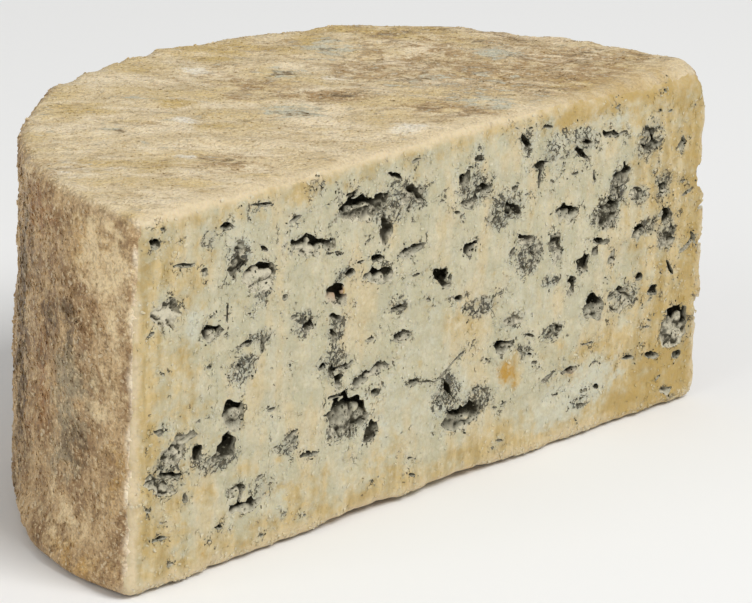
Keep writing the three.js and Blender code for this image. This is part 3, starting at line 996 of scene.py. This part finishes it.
def blotch_edge_group():
    group, given, out = new_group("blotch_edge", [
        ("Place", "NodeSocketVector", None), ("Patch", "NodeSocketFloat", 0.0),
        ("Blotch Size", "NodeSocketFloat", 3.0), ("Raggedness", "NodeSocketFloat", 0.6),
        ("Softness", "NodeSocketFloat", 0.3)], ["Mask"])
    broken = noise(group, given["Place"], given["Blotch Size"], 5.0, 0.62)
    pushed = times(group, math_of(group, "SUBTRACT", broken, 0.5), given["Raggedness"])
    total = times_plus(group, pushed, 2.0, given["Patch"])
    low_end = math_of(group, "SUBTRACT", 0.5, given["Softness"])
    high_end = math_of(group, "ADD", 0.5, given["Softness"])
    group.links.new(ramp(group, total, low_end, high_end), out["Mask"])
    return group


def mould_specks_group():
    group, given, out = new_group("mould_specks", [
        ("Place", "NodeSocketVector", None), ("Amount", "NodeSocketFloat", 0.5),
        ("Speck Size", "NodeSocketFloat", 0.8)], ["Mask"])
    dots = noise(group, given["Place"], given["Speck Size"], 3.0, 0.6)
    clouds = noise(group, given["Place"], times(group, given["Speck Size"], 4.0), 2.0)
    crowd = times_plus(group, math_of(group, "SUBTRACT", clouds, 0.5), 1.6, given["Amount"])
    level = times_plus(group, crowd, 0.3, dots)
    group.links.new(ramp(group, level, 0.74, 0.84), out["Mask"])
    return group


def grain_relief_group():
    group, given, out = new_group("grain_relief", [
        ("Place", "NodeSocketVector", None), ("Lump Size", "NodeSocketFloat", 3.0),
        ("Grain Size", "NodeSocketFloat", 0.8), ("Grain Share", "NodeSocketFloat", 0.5)],
        ["Height", "Low"])
    lumps = noise(group, given["Place"], given["Lump Size"], 3.0)
    cell_scale = math_of(group, "DIVIDE", 1.0, given["Grain Size"])
    cells = chain(group, "ShaderNodeTexVoronoi", {"Vector": given["Place"], "Scale": cell_scale},
                  feature="F1").outputs["Distance"]
    knobs = math_of(group, "SUBTRACT", 1.0, cells)
    fine = noise(group, given["Place"], given["Grain Size"], 4.0, 0.65)
    grain = times_plus(group, fine, 0.8, times(group, knobs, 0.6))
    height = times_plus(group, grain, given["Grain Share"], lumps)
    group.links.new(height, out["Height"])
    group.links.new(ramp(group, grain, 0.72, 0.45), out["Low"])
    return group


def fine_lines_group():
    group, given, out = new_group("fine_lines", [
        ("Place", "NodeSocketVector", None), ("Amount", "NodeSocketFloat", 0.5),
        ("Line Size", "NodeSocketFloat", 3.0)], ["Mask"])
    field = noise(group, given["Place"], given["Line Size"], 3.0, 0.6)
    away = math_of(group, "ABSOLUTE", math_of(group, "SUBTRACT", field, 0.5))
    gaps = noise(group, given["Place"], times(group, given["Line Size"], 1.4), 2.0)
    width = times_plus(group, math_of(group, "SUBTRACT", gaps, 0.68), 0.25,
                       times(group, given["Amount"], 0.05))
    inside = math_of(group, "SUBTRACT", width, away)
    group.links.new(ramp(group, inside, -0.012, 0.012), out["Mask"])
    return group


groups = {made.name: made for made in (blotch_edge_group(), mould_specks_group(),
                                       grain_relief_group(), fine_lines_group())}
print("node groups", sorted(groups))


def use(tree, name, **inputs):
    """Places a shared group in a material; underscores in the names stand for spaces."""
    links = {key.replace("_", " "): value for key, value in inputs.items()}
    return chain(tree, "ShaderNodeGroup", links, node_tree=groups[name]).outputs


glow_depth = 1.5
glow_of_each_colour = (1.0, 0.75, 0.4)


def finish_surface(material, colour, rough, height, bump_mm, soft, gloss):
    """The material's own shader: damp, a little translucent, with a bump in millimetres."""
    tree = material.node_tree
    shader = tree.nodes["Principled BSDF"]
    bump = chain(tree, "ShaderNodeBump", {"Height": height, "Distance": bump_mm / mm_per_m})
    for key, value in (("Base Color", colour), ("Roughness", rough), ("Normal", bump.outputs[0])):
        if isinstance(value, bpy.types.NodeSocket):
            tree.links.new(value, shader.inputs[key])
        else:
            shader.inputs[key].default_value = value
    shader.inputs["Subsurface Weight"].default_value = soft
    shader.inputs["Subsurface Scale"].default_value = glow_depth / mm_per_m
    shader.inputs["Subsurface Radius"].default_value = glow_of_each_colour
    shader.inputs["Specular IOR Level"].default_value = gloss


def patch(tree, place, name, size, ragged=0.5, softness=0.25):
    """The ragged mask of a patch that was painted on the mesh."""
    painted = times(tree, attribute(tree, name), 0.8)
    return use(tree, "blotch_edge", Place=place, Patch=painted, Blotch_Size=size,
               Raggedness=ragged, Softness=softness)["Mask"]


# %% [markdown]
# ## Paste
# Fresh paste is ivory with a grey-green cast. The knife smeared it in upright bands, so one noise is
# drawn out upwards. Over it lie the painted patches, each with ragged edges, a crumbly mottle of
# lighter curd and of hollows darkened with painted shade, and specks of mould that crowd near the
# eyes.

# %% Colours of the paste
cream = srgb(213, 195, 160)
# Near black: dark mould, and also the painted shade under the eyes' lips and deep in them.
mould_and_shade_black = srgb(42, 38, 24)
grey_ivory = srgb(185, 179, 150)
ivory = srgb(200, 191, 161)
warm_ivory = srgb(208, 187, 144)
chalky_smear = srgb(205, 201, 180)
deep_ochre = srgb(174, 150, 96)
light_ochre = srgb(204, 181, 131)
chalk = srgb(198, 195, 173)
orange = srgb(180, 139, 54)
light_curd = srgb(220, 210, 182)
# Painted shade for the hollows of the curd's bump.
painted_hollow_shade = srgb(166, 150, 114)
blue_shade = srgb(163, 162, 146)
tan = srgb(177, 149, 85)
low_curd = srgb(158, 142, 106)
crumb_ivory = srgb(222, 212, 184)


# %% Paste finish
def make_paste(material):
    tree = material.node_tree
    place = millimetres(tree)
    smear = noise(tree, millimetres(tree, (1.0, 1.0, 6.0)), 3.0, 3.0)
    bands = noise(tree, millimetres(tree, (1.0, 1.0, 2.5)), 9.0, 3.0)
    relief = use(tree, "grain_relief", Place=place, Lump_Size=3.2, Grain_Size=1.0, Grain_Share=0.3)
    anywhere = use(tree, "blotch_edge", Place=place, Patch=0.42, Blotch_Size=7.0, Raggedness=0.9,
                   Softness=0.25)["Mask"]
    colour = lay(tree, anywhere, grey_ivory, ivory)
    colour = tint(tree, bands, 0.5, 0.64, 0.55, colour, warm_ivory)
    colour = tint(tree, smear, 0.46, 0.7, 0.4, colour, chalky_smear)
    ochre = lay(tree, ramp(tree, smear, 0.35, 0.65), deep_ochre, light_ochre)
    colour = lay(tree, patch(tree, place, "ochre", 4.0, 0.9, 0.35), colour, ochre)
    colour = lay(tree, patch(tree, place, "chalk", 3.0, 0.9, 0.35), colour, chalk)
    colour = lay(tree, patch(tree, place, "orange", 1.5, 0.5, 0.3), colour, orange)
    light = noise(tree, place, 2.2, 4.0, 0.6)
    colour = tint(tree, light, 0.54, 0.7, 0.4, colour, light_curd)
    # Painted shade: darker where the same noise makes the bump low.
    colour = tint(tree, light, 0.43, 0.28, 0.35, colour, painted_hollow_shade)
    near_eye = attribute(tree, "near_eye")
    stain = attribute(tree, "stain")
    gathered = times_plus(tree, near_eye, 0.4, times(tree, stain, 0.45))
    shade = use(tree, "blotch_edge", Place=place, Patch=gathered, Blotch_Size=1.6, Raggedness=0.5,
                Softness=0.3)["Mask"]
    colour = lay(tree, times(tree, shade, 0.65), colour, blue_shade)
    cracked = times_plus(tree, stain, 1.0, times(tree, near_eye, 0.9))
    cracks = use(tree, "fine_lines", Place=place, Amount=cracked, Line_Size=2.4)["Mask"]
    colour = lay(tree, times(tree, cracks, 0.85), colour, mould_and_shade_black)
    dots = use(tree, "mould_specks", Place=place, Amount=gathered, Speck_Size=0.9)["Mask"]
    dots = times(tree, dots, ramp(tree, gathered, 0.02, 0.2, 0.0, 0.7))
    colour = lay(tree, dots, colour, mould_and_shade_black)
    colour = lay(tree, attribute(tree, "edge"), colour, cream)
    dried = times(tree, patch(tree, place, "tan", 4.0, 0.9, 0.4), 0.9)
    dried = times(tree, dried, math_of(tree, "SUBTRACT", 1.0, cracks))
    colour = lay(tree, dried, colour, tan)
    colour = lay(tree, times(tree, relief["Low"], 0.2), colour, low_curd)
    colour = tint(tree, attribute(tree, "tone"), 0.3, 1.0, 0.45, colour, crumb_ivory)
    height = times_plus(tree, cracks, -1.2, relief["Height"])
    height = times_plus(tree, light, 0.8, height)
    finish_surface(material, colour, 0.5, height, 0.35, 0.3, 0.35)


# %% [markdown]
# ## Walls of the eyes
# Inside the eyes the curd is a greyer ivory, felted with grey mould. Dark blotches crowd at the lip,
# mould and painted shade of the crevice there. Faces that point down get painted shade under the
# lip, and it turns near black where it is deep, from dark mould and painted shade.

# %% Eye wall and mould finishes
bare_wall = srgb(204, 196, 172)
pink_wall = srgb(172, 138, 108)
grey_felt = srgb(168, 164, 144)
dark_mould = srgb(48, 46, 32)
grey_mould = srgb(140, 136, 114)


def facing_up(tree):
    """1 where the surface faces up, -1 where it faces down."""
    normal = chain(tree, "ShaderNodeNewGeometry", {}).outputs["Normal"]
    return chain(tree, "ShaderNodeSeparateXYZ", {0: normal}).outputs["Z"]


def make_eye_wall(material):
    tree = material.node_tree
    place = millimetres(tree)
    mould = attribute(tree, "mould")
    depth = attribute(tree, "depth")
    relief = use(tree, "grain_relief", Place=place, Lump_Size=2.0, Grain_Size=0.7, Grain_Share=0.6)
    colour = lay(tree, attribute(tree, "orange"), bare_wall, pink_wall)
    felt = use(tree, "blotch_edge", Place=place, Blotch_Size=2.4, Raggedness=0.9, Softness=0.3,
               Patch=times(tree, mould, 0.5))["Mask"]
    colour = lay(tree, felt, colour, grey_felt)
    # Dark at the lip: partly mould in the crevice, partly painted shade of that crevice.
    lip = ramp(tree, depth, 0.7, 0.3)
    crack = times(tree, attribute(tree, "stain"), ramp(tree, depth, 0.1, 0.8))
    # Painted shade: faces that point down, under the upper lip, are darkened near black.
    painted_roof_shade = times(tree, ramp(tree, facing_up(tree), 0.25, -0.45), ramp(tree, depth, 0.1, 1.2))
    # Dark mask: mould at the lip and in the cracks, a little mould lining, and painted shade at the lip
    # and under the roof.
    dark = times_plus(tree, lip, 0.3, times(tree, crack, 0.45))
    dark = times_plus(tree, painted_roof_shade, 0.7, dark)
    dark = times_plus(tree, mould, 0.1, dark)
    # Its blotches are laid near black: mould and painted shade together.
    shade = use(tree, "blotch_edge", Place=place, Blotch_Size=1.4, Raggedness=0.7, Softness=0.3,
                Patch=dark)["Mask"]
    cracks = use(tree, "fine_lines", Place=place, Amount=0.8, Line_Size=2.2)["Mask"]
    colour = lay(tree, times(tree, cracks, 0.6), colour, mould_and_shade_black)
    colour = lay(tree, times(tree, shade, 0.92), colour, mould_and_shade_black)
    # Darker, to near black, deeper in the eye and where mould lines it: partly dark mould, partly painted
    # shade.
    mould_and_depth_shade = times_plus(tree, mould, 0.8, depth)
    colour = tint(tree, mould_and_depth_shade, 1.1, 2.5, 0.95, colour, mould_and_shade_black)
    finish_surface(material, colour, 0.65, relief["Height"], 0.5, 0.05, 0.15)


def make_mould(material):
    tree = material.node_tree
    felt = noise(tree, millimetres(tree), 0.6, 3.0)
    tone = attribute(tree, "tone")
    colour = lay(tree, times(tree, tone, tone), dark_mould, grey_mould)
    finish_surface(material, colour, 0.8, felt, 0.2, 0.0, 0.15)


# %% [markdown]
# ## Rind
# The rind is a thin, grainy skin. On the side it is brown with grey-green, red-brown and pale
# patches, darkest at half height. On the top it is tan and yellow with fine wrinkles. Its pale knobs
# are partly pale grain and partly painted sparkle. The grains wear the same finish: the lightest of
# them, by their tone, are painted paler, a painted glint where a damp film would catch the light.

# %% Colours of the rind's side
side_brown = srgb(160, 127, 88)
side_tan = srgb(210, 178, 132)
side_yellow = srgb(206, 164, 94)
red_brown = srgb(164, 120, 74)
side_grey = srgb(172, 156, 125)
damp_dark = srgb(92, 70, 42)
pale_bloom = srgb(243, 218, 172)
hollow_brown = srgb(118, 90, 56)
lump_tan = srgb(216, 190, 148)
# Pale knobs: partly the cream of pale grains, partly painted sparkle highlight.
gap_brown = srgb(100, 76, 46)
knob_and_sparkle_cream = srgb(234, 210, 168)

# %% Colours of the top and the rims
top_tan = srgb(212, 191, 150)
top_cream = srgb(234, 216, 181)
broad_yellow = srgb(210, 184, 126)
broad_brown = srgb(184, 156, 116)
top_yellow = srgb(202, 175, 115)
worn_brown = srgb(166, 134, 90)
blue_grey = srgb(198, 193, 169)
top_dark = srgb(122, 102, 70)
white_bloom = srgb(232, 222, 200)
wrinkle_brown = srgb(166, 140, 98)
wrinkle_cream = srgb(230, 211, 174)
line_brown = srgb(112, 90, 58)
# Pale knobs on the top: partly pale grain, partly painted sparkle highlight.
top_knob_and_sparkle = srgb(240, 224, 188)
side_rim = srgb(250, 234, 204)
dried_rim = srgb(194, 168, 118)
low_brown = srgb(130, 106, 76)
# Painted highlight: the cream that the lightest grains are painted, as a glint.
painted_glint_cream = srgb(236, 218, 184)


# %% Rind finish
def side_colour(tree, place, knobby, gloom):
    """The side of the wheel: blotches, then dark hollows and pale knobs between them, the knobs partly
    painted sparkle.
    """
    broad = noise(tree, place, 9.0, 5.0, 0.65)
    side = lay(tree, ramp(tree, broad, 0.38, 0.62), side_brown, side_tan)
    side = lay(tree, patch(tree, place, "yellow", 5.0, 1.0), side, side_yellow)
    side = lay(tree, patch(tree, place, "brown", 5.0, 1.2), side, red_brown)
    side = lay(tree, patch(tree, place, "grey", 5.0, 1.2), side, side_grey)
    side = lay(tree, gloom, side, damp_dark)
    bloom = patch(tree, place, "pale", 5.0, 1.2)
    side = lay(tree, bloom, side, pale_bloom)
    bare = ramp(tree, bloom, 0.0, 1.0, 1.0, 0.25)
    lumpy = noise(tree, place, 3.4, 3.0, 0.6)
    hollow = times(tree, bare, ramp(tree, lumpy, 0.48, 0.34, 0.0, 0.45))
    side = lay(tree, hollow, side, hollow_brown)
    side = tint(tree, lumpy, 0.52, 0.66, 0.5, side, lump_tan)
    gap = times(tree, bare, ramp(tree, knobby, 0.46, 0.35, 0.0, 0.6))
    side = lay(tree, gap, side, gap_brown)
    # Pale knobs, fewer on dark patches: partly pale grain, partly painted sparkle highlight.
    knobs = times(tree, ramp(tree, knobby, 0.54, 0.64, 0.0, 0.75), ramp(tree, gloom, 0.0, 1.0, 1.0, 0.6))
    return lay(tree, knobs, side, knob_and_sparkle_cream)


def top_colour(tree, drawn, knobby, wrinkle):
    """The top of the wheel: everything is drawn out along the wrinkles."""
    bands = noise(tree, drawn, 9.0, 5.0, 0.6)
    stains = noise(tree, drawn, 16.0, 5.0, 0.65)
    top = lay(tree, ramp(tree, bands, 0.4, 0.6), top_tan, top_cream)
    top = tint(tree, stains, 0.5, 0.62, 0.65, top, broad_yellow)
    top = tint(tree, stains, 0.42, 0.32, 0.5, top, broad_brown)
    top = lay(tree, patch(tree, drawn, "yellow", 6.0, 1.2, 0.45), top, top_yellow)
    top = lay(tree, times(tree, patch(tree, drawn, "brown", 2.2, 1.8, 0.35), 0.95), top, worn_brown)
    top = lay(tree, patch(tree, drawn, "grey", 2.2, 1.6), top, blue_grey)
    top = lay(tree, patch(tree, drawn, "dark", 2.0, 1.4), top, top_dark)
    top = lay(tree, patch(tree, drawn, "pale", 2.5, 0.8), top, white_bloom)
    top = tint(tree, wrinkle, 0.44, 0.32, 0.5, top, wrinkle_brown)
    top = tint(tree, wrinkle, 0.55, 0.7, 0.5, top, wrinkle_cream)
    worn = times_plus(tree, attribute(tree, "brown"), 1.0, ramp(tree, stains, 0.5, 0.36, 0.0, 0.8))
    lines = use(tree, "fine_lines", Place=drawn, Amount=worn, Line_Size=4.0)["Mask"]
    top = lay(tree, times(tree, lines, 0.5), top, line_brown)
    # Pale knobs, partly pale grain and partly painted sparkle highlight.
    return tint(tree, knobby, 0.54, 0.66, 0.45, top, top_knob_and_sparkle)


def make_rind(material):
    tree = material.node_tree
    place = millimetres(tree)
    along = chain(tree, "ShaderNodeVectorRotate", {"Vector": place, "Angle": -wrinkle_turn},
                  rotation_type="Z_AXIS").outputs[0]
    drawn = chain(tree, "ShaderNodeMapping", {"Vector": along, "Scale": (0.5, 1.0, 1.0)}).outputs[0]
    relief = use(tree, "grain_relief", Place=place, Lump_Size=3.6, Grain_Size=0.8, Grain_Share=0.5)
    knobby = noise(tree, place, 1.15, 4.0, 0.7)
    wrinkle = noise(tree, drawn, 4.0, 4.0, 0.6)
    gloom = patch(tree, place, "dark", 5.0, 1.2, 0.3)
    on_top = attribute(tree, "top")
    side = side_colour(tree, place, knobby, gloom)
    colour = lay(tree, on_top, side, top_colour(tree, drawn, knobby, wrinkle))
    rim = lay(tree, on_top, side_rim, cream)
    rim = lay(tree, patch(tree, place, "yellow", 5.0, 0.8, 0.4), rim, dried_rim)
    colour = lay(tree, attribute(tree, "edge"), colour, rim)
    low_places = times(tree, relief["Low"], ramp(tree, on_top, 0.0, 1.0, 0.35, 0.18))
    colour = lay(tree, low_places, colour, low_brown)
    # Painted glint: grains of the lightest tone are painted paler as a highlight, less on dark patches.
    painted_glint = times(tree, ramp(tree, attribute(tree, "tone"), 0.6, 1.0, 0.0, 0.55),
                  ramp(tree, gloom, 0.0, 1.0, 1.0, 0.1))
    colour = lay(tree, painted_glint, colour, painted_glint_cream)
    damp = ramp(tree, knobby, 0.35, 0.65, 0.36, 0.62)
    height = times_plus(tree, wrinkle, on_top, relief["Height"])
    finish_surface(material, colour, damp, height, 1.0, 0.1, 0.25)


# %% Dress the cheese
for finish, make in (("paste", make_paste), ("eye_wall", make_eye_wall), ("rind", make_rind),
                     ("mould", make_mould)):
    finishes[finish].use_nodes = True
    make(finishes[finish])
    print(finish, "has", len(finishes[finish].node_tree.nodes), "nodes")

# %% [markdown]
# ## Bodies
# The mesh stands for the imported solid and rides on the one body that the row has.

# %% Tell the frame what the cheese is
body_name = next(iter(frame["bodies"]))
for piece in (cheese, *small_things):
    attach(piece, body_name)
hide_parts(node)

# %% [markdown]
# ## Light, floor and camera
# Soft studio light: a broad lamp high on the right of the camera lights the cut, a weaker one on
# the left keeps the rind readable, and a pale floor and sky fill the shadows.

# %% Studio
scene = bpy.context.scene
scene.view_settings.view_transform = "Standard"
middle = Vector((axis_at, cut_at, wheel_height / 2 / mm_per_m))
floor_drop = 0.0004
floor_white = (0.86, 0.86, 0.85, 1)
sky_strength = 0.45


def make_floor(half=3.0):
    """A plain pale square, a hair under the cheese."""
    mesh = bpy.data.meshes.new("floor")
    corners = [(-half, -half), (half, -half), (half, half), (-half, half)]
    mesh.from_pydata([(a, b, -floor_drop) for a, b in corners], [], [(0, 1, 2, 3)])
    floor = bpy.data.objects.new("floor", mesh)
    scene.collection.objects.link(floor)
    pale = bpy.data.materials.new("pale_floor")
    pale.use_nodes = True
    shader = pale.node_tree.nodes["Principled BSDF"]
    shader.inputs["Base Color"].default_value = floor_white
    shader.inputs["Roughness"].default_value = 0.9
    mesh.materials.append(pale)


def add_lamp(name, azimuth, elevation, distance, size, watts):
    """A square lamp aimed at the middle of the cheese, placed by degrees from straight in front."""
    a, e = math.radians(azimuth), math.radians(elevation)
    away = Vector((math.sin(a) * math.cos(e), -math.cos(a) * math.cos(e), math.sin(e)))
    data = bpy.data.lights.new(name, "AREA")
    data.size = size
    data.energy = watts
    lamp = bpy.data.objects.new(name, data)
    lamp.location = middle + away * distance
    lamp.rotation_euler = (-away).to_track_quat("-Z", "Y").to_euler()
    scene.collection.objects.link(lamp)


make_floor()
add_lamp("key", 5, 52, 2.6, 1.2, 48)
add_lamp("fill", -95, 25, 2.6, 1.6, 14)
world = bpy.data.worlds.new("sky")
world.use_nodes = True
sky = world.node_tree.nodes["Background"]
sky.inputs["Color"].default_value = (1.0, 1.0, 1.0, 1.0)
sky.inputs["Strength"].default_value = sky_strength
scene.world = world

# %% Camera
camera_azimuth = math.radians(-47.96)
camera_elevation = math.radians(19.25)
camera_roll = math.radians(2.08)
camera_distance = 1.0368
photo_width = 752
focal_pixels = 4297.7
aim_right = -0.01466
aim_up = 0.00337


def make_camera():
    """The camera that took the photo, as far as the outline of the cheese tells."""
    a, e = camera_azimuth, camera_elevation
    back = Vector((math.sin(a) * math.cos(e), -math.cos(a) * math.cos(e), math.sin(e)))
    right = Vector((math.cos(a), math.sin(a), 0))
    up = back.cross(right)
    tilted = right * math.cos(camera_roll) + up * math.sin(camera_roll)
    upright = up * math.cos(camera_roll) - right * math.sin(camera_roll)
    aim = middle + tilted * aim_right + upright * aim_up
    data = bpy.data.cameras.new("camera")
    data.sensor_width = 36.0
    data.lens = focal_pixels / photo_width * data.sensor_width
    camera = bpy.data.objects.new("camera", data)
    camera.location = middle + back * camera_distance
    view = (camera.location - aim).normalized()
    side = (tilted - view * tilted.dot(view)).normalized()
    camera.matrix_world = Matrix((side, view.cross(side), view)).transposed().to_4x4()
    camera.location = middle + back * camera_distance
    scene.collection.objects.link(camera)
    scene.camera = camera


make_camera()
print("camera at", [round(v, 3) for v in scene.camera.location])
